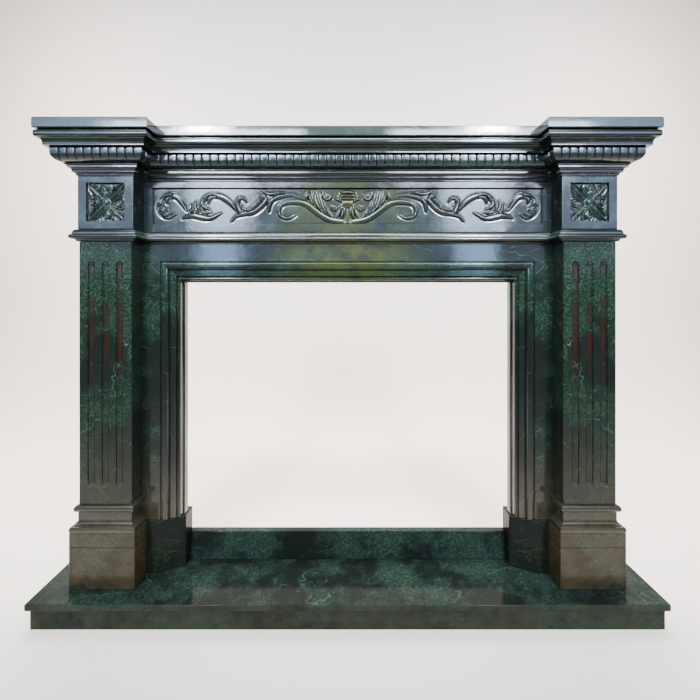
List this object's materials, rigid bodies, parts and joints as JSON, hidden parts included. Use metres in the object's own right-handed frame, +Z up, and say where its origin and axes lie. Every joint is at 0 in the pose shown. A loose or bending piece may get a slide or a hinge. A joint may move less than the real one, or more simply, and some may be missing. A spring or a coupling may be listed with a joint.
{
  "type": "fireplace mantel",
  "caption": "Carved marble fireplace surround with fluted pilasters, rosette blocks, scrolled frieze, reeded cornice, breakfront shelf and raised hearth.",
  "frame": {"origin": "on the floor, at the middle of the width and of the depth", "axes": "+X runs along the wall to the viewer's right, +Y points to the wall behind, +Z points up; the carved front faces -Y"},
  "size_m": [1.852, 0.231, 1.476],
  "materials": {
    "green_marble": "polished dark green marble with lighter green veins",
    "carved_marble": "polished dark green marble, carved in relief",
    "plinth_marble": "polished dark green marble with a brown cast",
    "hearth_marble": "polished green marble slab with olive edges"
  },
  "bodies": {
    "root": {"hearth_base": "hearth_marble", "hearth_slab": "hearth_marble", "hearth_upstand": "hearth_marble", "plinth_block_left": "plinth_marble", "plinth_block_right": "plinth_marble", "inner_base_left": "plinth_marble", "inner_base_right": "plinth_marble", "base_moulding_left": "green_marble", "base_moulding_right": "green_marble", "fluted_shaft_left": "green_marble", "fluted_shaft_right": "green_marble", "leg_panel_left": "green_marble", "leg_panel_right": "green_marble", "lintel_panel": "green_marble", "architrave_left": "green_marble", "architrave_right": "green_marble", "architrave_head": "green_marble", "neck_moulding_left": "green_marble", "neck_moulding_centre": "green_marble", "neck_moulding_right": "green_marble", "rosette_block_left": "carved_marble", "rosette_block_right": "carved_marble", "frieze_panel": "carved_marble", "bed_moulding_left": "green_marble", "bed_moulding_centre": "green_marble", "bed_moulding_right": "green_marble", "reeded_moulding_left": "carved_marble", "reeded_moulding_centre": "carved_marble", "reeded_moulding_right": "carved_marble", "under_shelf": "green_marble", "shelf": "green_marble"}
  },
  "joints": []
}
